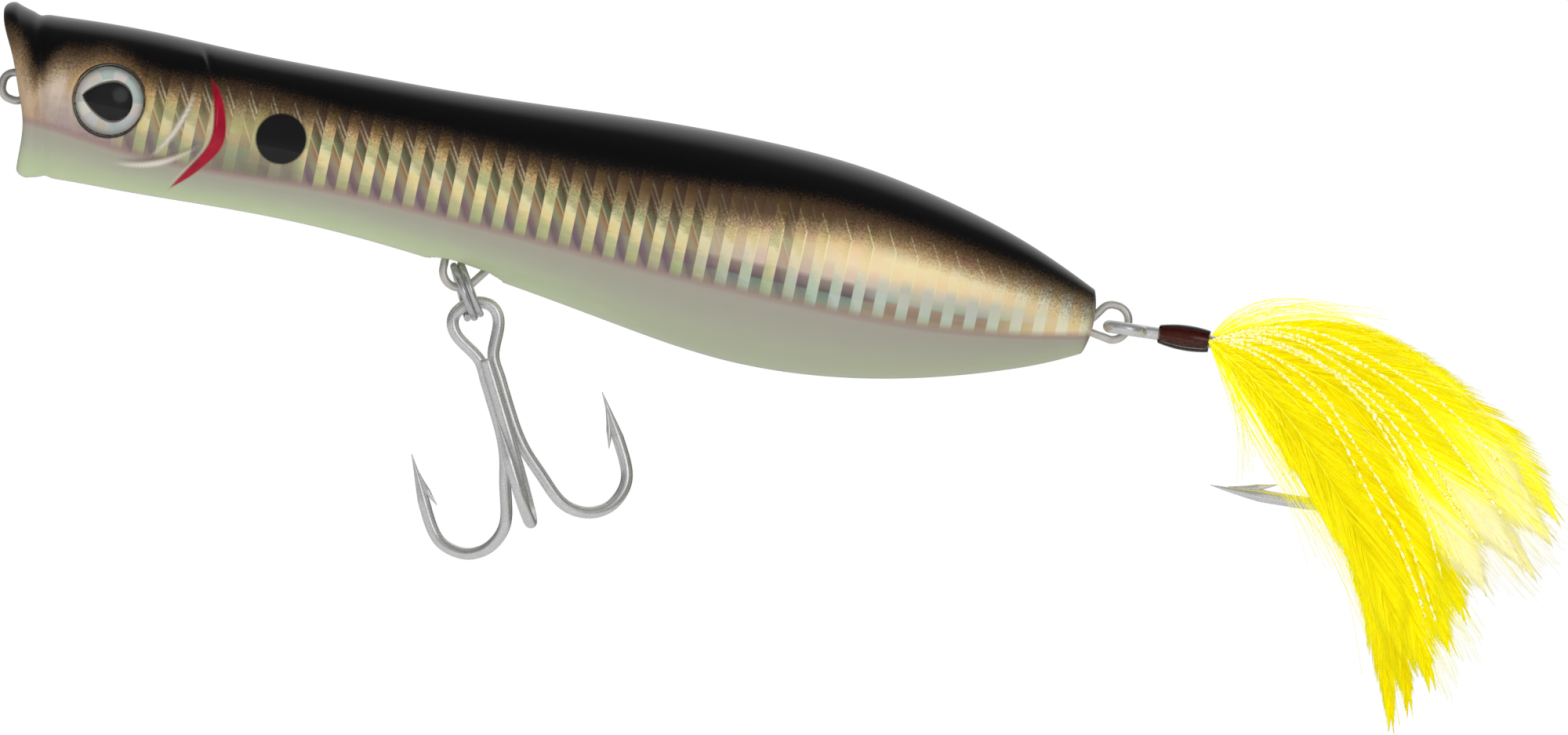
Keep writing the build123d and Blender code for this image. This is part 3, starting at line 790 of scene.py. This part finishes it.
def arm(hook, top):
    """One hook's centre line, from its shank down and round to the root of its point."""
    turn, bend = hook
    profile = [(BUNDLE_R, top), (BUNDLE_R, 14.0), (BUNDLE_R, 18.0), (BUNDLE_R + 0.12, 21.5), (1.85, 25.0),
               (3.05, 28.6)]
    for angle in (160, 135, 110, 90, 70, 45, 20):
        out, down = BEND_R * math.cos(math.radians(angle)), BEND_R * math.sin(math.radians(angle))
        profile.append((BEND_OUT + 0.1 + out * (1.06 if angle > 90 else 1.0), bend + down))
    spear = BEND_OUT + BEND_R
    profile += [(spear + 0.05, bend - SPEAR_RISE), (spear - 0.1, bend - 6.4),
                (spear - 0.3, bend - POINT_RISE)]
    return [treble_point(r, w, turn) for r, w in profile]


def arm_barb(hook):
    turn, bend = hook
    inward = treble_point(0, 0, turn) - treble_point(1, 0, turn)
    tip = treble_point(BEND_OUT + BEND_R - 0.3, bend - POINT_RISE, turn)
    return barb(tip, -DOWN, inward, TREBLE_R, 8.5)


def eye_loop():
    """The wire of the double hook's eye, between the tops of its two shanks."""
    flat = [(-0.97, 10.2), (-1.35, 8.6), (-2.6, 6.3), (-3.45, 4.1), (-3.05, 2.1), (-1.5, 1.0), (0.0, 0.72)]
    loop = flat + [(-a, w) for a, w in flat[-2::-1]]
    return [EYE_TOP + DOWN * (w + 0.18) + ACROSS * a + SIDE * EYE_Y for a, w in loop]


double_path = spline(arm(LEFT_HOOK, 12.5)[::-1] + eye_loop() + arm(RIGHT_HOOK, 12.5), 0.45)
double_size = needle_radius(double_path, TREBLE_R, NEEDLE, ("first", "last"))
double_wire = rod(double_path, double_size, double_size, SIDE)
double_hook = joined("double_hook", [double_wire, arm_barb(LEFT_HOOK), arm_barb(RIGHT_HOOK)], hook_steel)
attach(double_hook, "treble")
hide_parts("treble_double_hook")

third_path = spline(arm(THIRD_HOOK, THIRD_TOP), 0.45)
third_size = needle_radius(third_path, TREBLE_R, NEEDLE, ("last",))
third_wire = rod(third_path, third_size, third_size, ACROSS)
third_hook = joined("third_hook", [third_wire, arm_barb(THIRD_HOOK)], hook_steel)
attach(third_hook, "treble")
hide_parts("treble_third_hook")

# ---- thread whipping ----
HOOK_RISE = math.radians(3.4)
RISE = np.array([math.cos(HOOK_RISE), 0, math.sin(HOOK_RISE)])
DROP = np.array([math.sin(HOOK_RISE), 0, -math.cos(HOOK_RISE)])
BAR = np.array([168.75, 0, -0.8])
WRAP_START, WRAP_LENGTH = 7.7, 7.4


def hook_at(along, down):
    return BAR + RISE * along + DROP * down


TAIL_R, LOOP_R, SHANK_END, GAPE_R, TAIL_POINT = 0.95, 2.5, 34.0, 10.9, 18.7


def in_line_eye():
    """Points and faces of the tail hook's eye, a closed ring of wire."""
    around_eye, around_wire = full_turn(48)[:, None, None], full_turn(24)[:, None]
    out = SIDE * np.sin(around_eye) - RISE * np.cos(around_eye)
    off = np.cos(around_wire) * out + np.sin(around_wire) * DROP
    points = BAR + (RISE + out) * LOOP_R + off * TAIL_R
    index = np.arange(48 * 24).reshape(48, 24)
    after = np.roll(index, -1, axis=0)
    quads = np.stack([index, after, np.roll(after, -1, axis=1), np.roll(index, -1, axis=1)], axis=-1)
    return points.reshape(-1, 3), quads.reshape(-1, 4).tolist()


tail_profile = [(4.6, 0.0), (8.0, 0.0), (16.0, 0.0), (26.0, 0.0), (31.0, 0.0)]
tail_profile += [(SHANK_END + GAPE_R * math.cos(a), GAPE_R - GAPE_R * math.sin(a))
                 for a in np.radians((80, 60, 40, 20, 0, -20, -40, -60, -80))]
GAPE = 2 * GAPE_R
tail_profile += [(31.0, GAPE + 0.05), (27.0, GAPE), (22.5, GAPE - 0.15), (TAIL_POINT, GAPE - 0.45)]
tail_path = spline([hook_at(*p) for p in tail_profile], 0.45)
tail_size = needle_radius(tail_path, TAIL_R, 7.6, ("last",))
tail_barb = barb(hook_at(TAIL_POINT, GAPE - 0.45), -RISE, -DROP, TAIL_R, 10.0)
tail_wire = rod(tail_path, tail_size, tail_size, SIDE)
tail_hook = joined("tail_hook_wire", [tail_wire, in_line_eye(), tail_barb], hook_steel)
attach(tail_hook, "tail_dressing")
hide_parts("tail_hook")


def thread_material():
    g = Paint("tying_thread", Roughness=0.45, Coat_Weight=0.5, Coat_Roughness=0.08)
    spot = g.place()
    fibre = g.noise(spot, 4, 5, 0.75)
    body_colour = g.ramp(fibre, (0.25, 0x3A0C0A), (0.5, 0x701C16), (0.72, 0x9E382C))
    glint = g.step(g.noise(spot, 11, 2, 0.6), 0.64, 0.72)
    g.shade(Base_Color=g.mix(glint * 0.75, body_colour, 0xCE968C))
    g.bump(fibre, 0.4, 0.00005)
    return g.material


def barrel(shares, small, big, large, start=WRAP_START, length=WRAP_LENGTH):
    """Profile of a barrel, given the radii of its ends and of its middle."""
    return [(start + length * s, small + (large - small) * s
             + (big - (small + large) / 2) * math.sin(math.pi * s) ** 0.8) for s in shares]


TURNS = 46
WRAP_END = WRAP_START + WRAP_LENGTH
about_shank = (BAR, RISE, DROP, SIDE, 64)


def turns(along, angle):
    phase = 2 * np.pi * TURNS * (along - WRAP_START) / WRAP_LENGTH
    return 0.035 * np.abs(np.sin(0.5 * (phase + angle)))


wrap_rows = [(WRAP_START + 0.05, 1.0), *barrel(np.linspace(0, 1, 240), 1.33, 1.80, 1.52),
             (WRAP_END - 0.03, 1.0)]
wrap_rows.append(wrap_rows[0])
whipping = turned("thread_turns", wrap_rows, thread_material(), *about_shank, ripple=turns)
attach(whipping, "tail_dressing")
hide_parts("thread_whipping")

bead_rows = [(WRAP_START - 0.25, 0.99),
             *barrel(np.linspace(0, 1, 60), 1.34, 1.92, 1.60, WRAP_START - 0.15, WRAP_LENGTH + 0.3),
             (WRAP_END + 0.1, 1.0), (WRAP_END + 0.02, 1.50),
             *barrel(np.linspace(1, 0, 40), 1.38, 1.86, 1.57)]
bead_rows.append(bead_rows[0])
varnish = clear_film("clear_varnish", 0xEEE2D8, 0xD8CCC2, 0.06)
bead = turned("varnish_bead", bead_rows, varnish, *about_shank)
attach(bead, "tail_dressing")
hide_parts("whipping_varnish")


# ---- hackle feathers ----
ROOT = BAR + RISE * (WRAP_END + 0.05)
FEATHER_T, FEATHER_GAP = 0.22, 0.06


def fanned(spread):
    """The heading of an upright plane fanned out by an angle in degrees, and its normal."""
    spread = math.radians(spread)
    forward = np.array([math.cos(spread), math.sin(spread), 0.0])
    return forward, np.cross(forward, UP)


def plane_of(number):
    """Side, root, heading and normal of a hackle's plane, as the CAD blades have them."""
    side = -1 if number % 2 else 1
    layer = number // 2
    offset = side * (TAIL_R + 0.08 + layer * (FEATHER_T + FEATHER_GAP) + 0.1)
    return side, ROOT + SIDE * offset, *fanned(side * (1.5 + 3.2 * layer))


class Strands:
    """Collects thin closed fibres into one mesh."""

    def __init__(self):
        self.points, self.faces, self.shade, self.count = [], [], [], 0

    def add(self, paths, widths, flat, shade, thickness=0.35):
        """paths: fibres x points x 3; widths: full width at each point; flat: across each fibre."""
        fibres, n = paths.shape[:2]
        along = np.gradient(paths, axis=1)
        along /= np.linalg.norm(along, axis=2, keepdims=True)
        across = flat - along * np.sum(along * flat, axis=2, keepdims=True)
        across /= np.linalg.norm(across, axis=2, keepdims=True)
        up = np.cross(along, across)
        half = np.broadcast_to(widths, (fibres, n))[..., None] / 2
        rows = np.stack([paths + across * half, paths + up * half * thickness, paths - across * half,
                         paths - up * half * thickness], axis=2)
        self.points.append(rows.reshape(-1, 3))
        index = np.arange(fibres * n * 4).reshape(fibres, n, 4) + self.count
        after = np.roll(index, -1, axis=2)
        sides = np.stack([index[:, :-1], after[:, :-1], after[:, 1:], index[:, 1:]], axis=-1)
        self.faces += [sides.reshape(-1, 4), index[:, 0, ::-1], index[:, -1]]
        self.shade.append(np.repeat(np.broadcast_to(shade, (fibres, n)), 4))
        self.count += fibres * n * 4

    def piece(self, name, material):
        faces = np.concatenate(self.faces).tolist()
        piece = mesh_piece(name, np.concatenate(self.points) * MM, faces, material)
        add_field(piece.data, "shade", np.concatenate(self.shade))
        return piece


def feather_material():
    # The yellow also glows by emission: a painted glow that lifts the barbs where they shade each other,
    # standing in for the dye's fluorescence.
    g = Paint("yellow_hackle", Roughness=0.5, Specular_IOR_Level=0.25, Emission_Strength=0.30)
    tone = g.field("shade") + (g.noise(g.place(), 1.1, 3, 0.6) - 0.5) * 0.22
    # Only the painted-shadow strays reach the dark olive end of the ramp.
    colour = g.ramp(tone, (0, 0x786C00), (0.05, 0xDAC800), (0.18, 0xF3E700), (0.42, 0xFDF702),
                    (0.68, 0xFFFE32), (0.86, 0xFEFBA6), (1, 0xFDFAD8))
    g.shade(Base_Color=colour, Emission_Color=colour)
    glow = g.value("BsdfTranslucent", colour)
    g.put(g.surface, g.value("MixShader", 0.42, g.bsdf.outputs[0], glow))
    return g.material


BARBS = 620                    # barbs along each edge of a feather
BARB_POINTS = 4
BARB_WIDTH = 0.30


def vane_width(s):
    """Share of the widest half width, s of the way along the shaft."""
    return (0.20 + 0.80 * smooth(s, 0.0, 0.40)) * (1.0 - 0.88 * smooth(s, 0.62, 1.02))


def hackle(number, feathers, pale):
    """One bundle. feathers hold crown x, crown z, tip x, tip z, half width and sideways shift."""
    side, root, forward, normal = plane_of(number)
    strands = Strands()

    def place(flat, out):
        return root + flat[..., :1] * forward + flat[..., 1:] * UP + out[..., None] * normal

    def belly_of(s):
        return np.sin(np.pi * np.minimum(s, 0.9) / 1.8)

    steps = np.linspace(0, 1, BARB_POINTS)
    for crown_x, crown_z, tip_x, tip_z, half_width, shift in feathers:
        centre = [(0, 0), (crown_x, crown_z), (tip_x, tip_z)]
        t = np.linspace(0, 0.97, 40)
        shaft = place(bezier(centre, t), shift * belly_of(t))
        strands.add(shaft[None], 0.40 - 0.34 * t, UP, 0.70, thickness=0.9)
        for edge in (-1, 1):
            s = 0.01 + 0.98 * (np.arange(BARBS) + rng.random(BARBS)) / BARBS
            base = bezier(centre, s)
            ahead = bezier(centre, s + 0.01) - base
            ahead /= np.linalg.norm(ahead, axis=1, keepdims=True)
            beside = np.stack([-ahead[:, 1], ahead[:, 0]], axis=1) * edge
            # Barbs cling together in locks that lean a little differently.
            lock = np.repeat(rng.uniform(-2.2, 2.2, BARBS // 16 + 1), 16)[:BARBS]
            lean = np.radians(27 - 14 * s + lock + rng.uniform(-1.0, 1.0, BARBS))
            reach = half_width * vane_width(s) * rng.uniform(0.82, 1.04, BARBS) * (1 + 0.03 * lock)
            length = reach / np.sin(lean)
            curl = rng.uniform(0.10, 0.22, BARBS)
            out = np.outer(np.sin(lean), steps) - np.outer(curl * np.sin(lean), steps ** 2)
            out = out * length[:, None]
            on = (np.outer(np.cos(lean), steps) + np.outer(curl * 0.5, steps ** 2)) * length[:, None]
            flat = base[:, None] + out[..., None] * beside[:, None] + on[..., None] * ahead[:, None]
            flat[..., 1] -= np.outer(0.6 * s, steps ** 2)
            cup = np.outer(side * 0.9 * reach / half_width, steps ** 1.6) + (shift * belly_of(s))[:, None]
            cup = cup + np.outer(rng.uniform(-0.35, 0.35, BARBS), steps)
            across = np.cross(normal, beside[:, :1] * forward + beside[:, 1:] * UP)[:, None]
            shade = 0.16 + 0.32 * rng.random(BARBS) + 0.02 * lock + pale * smooth(s, 0.55, 0.92)
            shade = np.add.outer(shade, 0.16 * steps ** 2)
            width = BARB_WIDTH * (1 - 0.86 * steps ** 1.5)
            strands.add(place(flat, cup), width, across, np.clip(shade, 0.16, 1))
    return strands


# Each CAD blade stands for a pair of hackles laid on each other.
PAIRS = [
    ([(26, 1.6, 56.5, -14, 4.6, 0), (21.5, 4.4, 44, -5, 3, 0.3)], 0.35),
    ([(25, -2.2, 56, -17.5, 4.8, 0), (23.5, 1, 52, -12.5, 4.2, 0.3)], 0.55),
    ([(23.5, -3.6, 55.5, -23.3, 4.4, 0), (21, -0.5, 48, -17.5, 4.6, 0.3)], 0.80),
    ([(22.5, -6.5, 48, -26.5, 4.8, 0), (23, -4, 52.5, -22, 4.4, 0.3)], 0.75),
    ([(23, -9.5, 46.5, -31, 4.8, 0), (22, -11.5, 45.5, -36.5, 4.8, 0.3)], 0.05),
    ([(22.5, -13.5, 43.5, -42.5, 4.6, 0), (19, -9, 42, -31, 4.8, 0.3)], 0),
    ([(23.5, -16, 40, -50.4, 3.8, 0), (23.5, -14.8, 42, -47, 4.2, 0.3)], 0),
    ([(14.5, -10.8, 31.5, -28, 3.6, 0), (20, -14, 38.5, -38.5, 4, 0.3)], 0),
]


def wisps(strands, number, count, crown, tip, spread, shade):
    """Single long barbs that stray from the bundle."""
    side, root, forward, normal = plane_of(number)
    t = np.linspace(0, 1, 24)
    paths = []
    for _ in range(count):
        middle = np.array(crown) + rng.uniform(-1, 1, 2) * spread
        end = np.array(tip) + rng.uniform(-1, 1, 2) * spread * 1.6
        flat = bezier([(0, 0), middle, end], t)
        out = side * rng.uniform(-0.5, 2.0) * np.sin(np.pi * t / 2)
        paths.append(root + np.outer(flat[:, 0], forward) + np.outer(flat[:, 1], UP) + np.outer(out, normal))
    strands.add(np.array(paths), 0.13 * (1 - 0.7 * t), normal, shade, thickness=0.8)


# number of the bundle: count, crown, tip, spread and shade of its stray barbs
STRAYS = {
    0: [(26, (10, 7.4), (22, 8.2), (2.5, 1.3), 0.62), (34, (21, 6.5), (38, -1.5), (2, 1.2), 0.72),
        (60, (28, 2), (51, -9.5), (2, 1.6), 0.90)],
    1: [(30, (27, 0), (56, -15), (1.5, 2), 0.66), (40, (25, -3), (57, -20), (1.5, 2.5), 0.93)],
    2: [(46, (24, -5), (55, -25), (1.5, 2), 0.93)],
    3: [(46, (23, -8), (48.5, -27.5), (1.5, 2), 0.93), (14, (17, -5.6), (31, -15), (1.2, 0.8), -0.3)],
    # Bundle 3's fourteen dark strays (shade -0.3) are a painted shadow of the tail hook's bend, seen through
    # the feathers.
    4: [(40, (23, -11), (48.5, -36), (1.5, 2.2), 0.66)],
    5: [(40, (23, -14), (46, -42), (1.2, 2.2), 0.62)],
    6: [(24, (21, -16), (40.5, -48.5), (0.8, 1.5), 0.55)],
    7: [(16, (5.5, -7), (9.5, -17), (0.8, 2), 0.60), (24, (12, -13.5), (24, -27), (1.5, 1.8), 0.60),
        (24, (19, -18), (35, -41), (1.2, 2), 0.60)],
}

feather = feather_material()
for number, (feathers, pale) in enumerate(PAIRS):
    bundle = hackle(number, feathers, pale)
    for stray in STRAYS[number]:
        wisps(bundle, number, *stray)
    piece = bundle.piece(f"hackle_{number + 1}", feather)
    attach(piece, "tail_dressing")
    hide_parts(f"hackle_feather_{number + 1}")


# ---- tinsel ----
def tinsel_material():
    # The pearl colour also glows by emission: a painted glow, as the strands are no lamp.
    g = Paint("pearl_tinsel", Roughness=0.2, Coat_Weight=0.6, Emission_Strength=0.42)
    spark = g.noise(g.place(), 2.6, 2, 0.6)
    pearl = g.ramp(spark, (0.34, 0xEED614), (0.46, 0xFAF05A), (0.56, 0xFFFCC8), (0.66, 0xFCF6E0),
                   (0.78, 0xDEECD6))
    g.shade(Base_Color=pearl, Emission_Color=pearl)
    return g.material


TINSEL = 13


def tinsel():
    """Twisted pearl strands laid over both faces of the hackles."""
    strands = Strands()
    t = np.linspace(0, 1, 180)
    for i in range(TINSEL):
        share = i / (TINSEL - 1)
        side = -1 if i % 3 else 1
        crown = (24.0 - 4.0 * share + random.uniform(-2, 2), 5.5 - 13.0 * share + random.uniform(-1.2, 1.2))
        tip = (52.0 - 12.0 * share + random.uniform(-3, 1), -9.0 - 29.0 * share + random.uniform(-2, 2))
        forward, normal = fanned(side * random.uniform(9.0, 13.0))
        flat = bezier([(0.1, 0), crown, tip], t)
        wave = 0.75 * t * np.sin(t * random.uniform(9, 17) + random.uniform(0, 6))
        path = ROOT + SIDE * side * random.uniform(0.9, 1.6)
        path = path + np.outer(flat[:, 0], forward) + np.outer(flat[:, 1] + wave, UP)
        path = path - np.outer(side * np.sin(np.pi * t) ** 0.8, normal)
        twist = np.cumsum(rng.uniform(0.1, 1.9, len(t))) / len(t) * 2 * np.pi
        twist = twist * random.uniform(14, 22) + random.uniform(0, 6)
        flat_vector = np.outer(np.cos(twist), UP) + np.outer(np.sin(twist), normal)
        strands.add(path[None], 0.62, flat_vector, 0.5, thickness=0.18)
    return strands


flash = tinsel().piece("tinsel", tinsel_material())
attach(flash, "tail_dressing")
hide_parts("flash_strands")


# ---- stage, light and camera ----
MIDDLE = (0.12, 0, 0)
FLOOR_HALF, FLOOR_Z = 0.9, -0.20


def floor():
    corners = [(MIDDLE[0] + FLOOR_HALF * x, FLOOR_HALF * y, FLOOR_Z)
               for x, y in ((-1, -1), (1, -1), (1, 1), (-1, 1))]
    pale = mottled("floor", 0.01, 0xEEEEEC, 0xF4F4F2, Roughness=0.6)
    mesh_piece("floor", corners, [(0, 1, 2, 3)], pale)


def softbox(name, place, width, height, watts):
    data = bpy.data.lights.new(name, "AREA")
    data.shape = "RECTANGLE"
    data.size = width
    data.size_y = height
    data.energy = watts
    lamp = bpy.data.objects.new(name, data)
    lamp.location = place
    lamp.visible_glossy = False
    lamp.rotation_euler = (Vector(MIDDLE) - Vector(place)).to_track_quat("-Z", "Y").to_euler()
    scene.collection.objects.link(lamp)


def studio():
    """A plain white background, and the soft shapes that the gloss reflects."""
    world = bpy.data.worlds.new("studio")
    scene.world = world
    g = Graph(world)
    g.tree.nodes.clear()
    direction = g.value("TexCoord", output="Generated")

    def glow(heading, begin, end, strength):
        """Brightness that grows towards a heading, with a soft edge."""
        heading = Vector(heading).normalized()
        toward = g.value("VectorMath", direction, heading, operation="DOT_PRODUCT", output="Value")
        return g.step(toward, begin, end, strength)

    # White table below, a broad light above and behind, a dim room in front, and one highlight.
    level = (glow((0, 0, -1), -0.10, 0.75, 0.80) + glow((0, 0.80, 0.60), 0.72, 1.0, 1.1)
             + glow((0, -1, 0.10), 0.45, 1.0, 0.28) + glow((0.36, -1, 0.30), 0.94, 0.995, 1.7) + 0.08)
    around = g.node("Background")
    g.put(around.inputs["Strength"], level)
    white = g.value("Background", (1, 1, 1, 1))
    seen = g.value("LightPath", output="Is Camera Ray")
    both = g.value("MixShader", seen, around.outputs[0], white)
    g.node("OutputWorld", both)


def camera():
    distance, width, roll = 3.2, 0.2364, math.radians(12.1)
    data = bpy.data.cameras.new("camera")
    data.sensor_width = 36
    data.lens = 36 * distance / width
    eye = bpy.data.objects.new("camera", data)
    turn = Matrix.Rotation(-roll, 4, "Y") @ Matrix.Rotation(math.pi / 2, 4, "X")
    eye.matrix_world = Matrix.Translation((0.1221, -distance, -0.01715)) @ turn
    scene.collection.objects.link(eye)
    scene.camera = eye


floor()
softbox("top_box", (0.12, 0.10, 0.85), 1.3, 0.8, 5.5)
softbox("front_box", (0.0, -1.35, 0.50), 1.2, 0.8, 9.0)
studio()
camera()
scene.view_settings.view_transform = "Standard"
